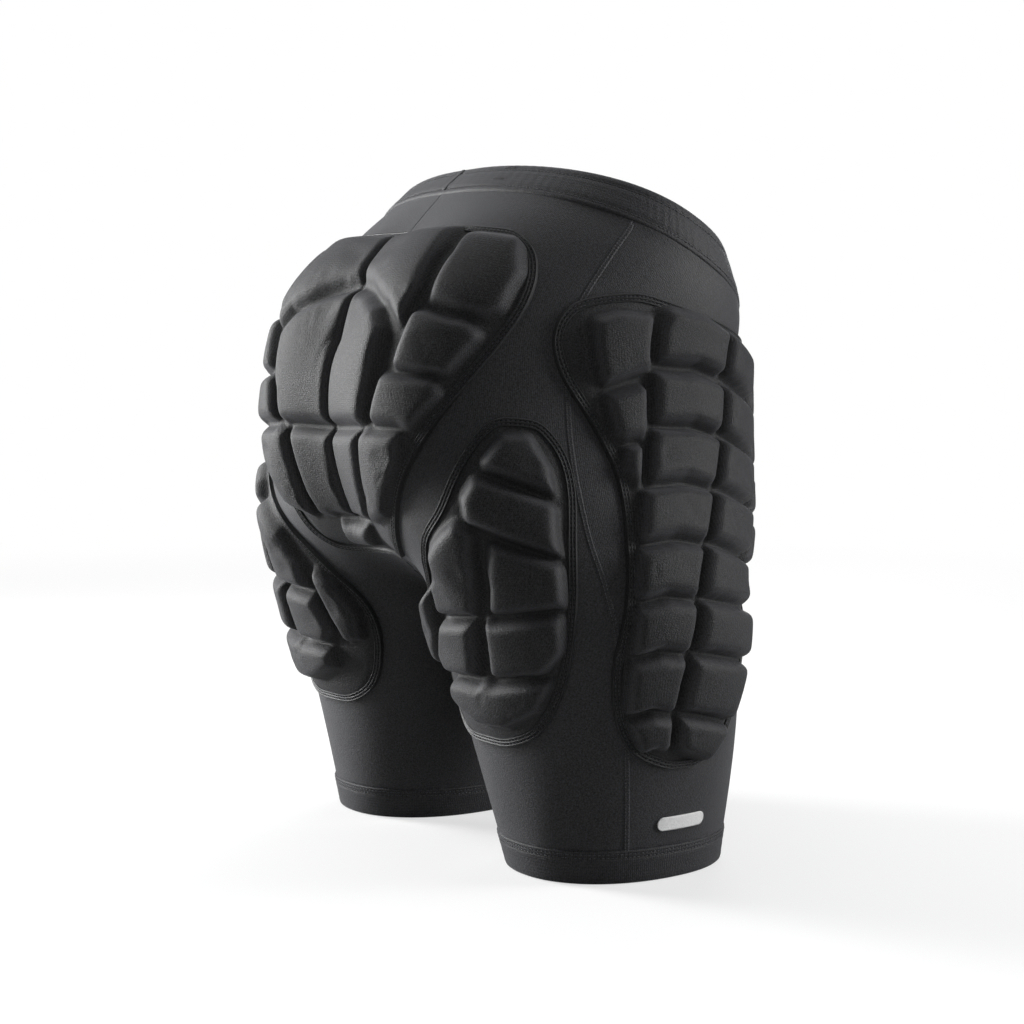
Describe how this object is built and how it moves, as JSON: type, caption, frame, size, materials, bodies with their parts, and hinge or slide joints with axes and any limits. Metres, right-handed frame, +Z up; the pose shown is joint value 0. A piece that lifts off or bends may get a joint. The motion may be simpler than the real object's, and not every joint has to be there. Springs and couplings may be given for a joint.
{
  "type": "padded impact shorts",
  "caption": "Snug black stretch shorts with raised block pads over the seat, hips and backs of the thighs, for snow sports.",
  "frame": {"origin": "under the middle of the footprint, in the plane of the two hems", "axes": "+Z up from hems to waist, -Y the wearer's front, +X the wearer's left"},
  "size_m": [0.3788, 0.2706, 0.4201],
  "materials": {
    "stretch_knit": "matt black stretch knit",
    "band_knit": "matt black knit, folded double",
    "elastic_tape": "woven elastic",
    "pad_cover": "black knit moulded over foam, slight sheen",
    "pad_foam": "closed-cell foam",
    "binding_tape": "narrow stitched edge tape",
    "pale_transfer": "flat pale heat transfer"
  },
  "bodies": {
    "root": {"side_panel_right": "stretch_knit", "back_panel_right": "stretch_knit", "front_panel_right": "stretch_knit", "side_panel_left": "stretch_knit", "back_panel_left": "stretch_knit", "front_panel_left": "stretch_knit", "crotch_gusset": "stretch_knit", "waistband_casing": "band_knit", "waistband_elastic": "elastic_tape", "hem_band_right": "band_knit", "hem_band_left": "band_knit", "seat_pad_foam": "pad_foam", "seat_pad_cover": "pad_cover", "seat_pad_binding": "binding_tape", "hip_pad_foam_right": "pad_foam", "hip_pad_cover_right": "pad_cover", "hip_pad_binding_right": "binding_tape", "thigh_pad_foam_right": "pad_foam", "thigh_pad_cover_right": "pad_cover", "thigh_pad_binding_right": "binding_tape", "hip_pad_foam_left": "pad_foam", "hip_pad_cover_left": "pad_cover", "hip_pad_binding_left": "binding_tape", "thigh_pad_foam_left": "pad_foam", "thigh_pad_cover_left": "pad_cover", "thigh_pad_binding_left": "binding_tape", "side_mark": "pale_transfer"}
  },
  "joints": []
}
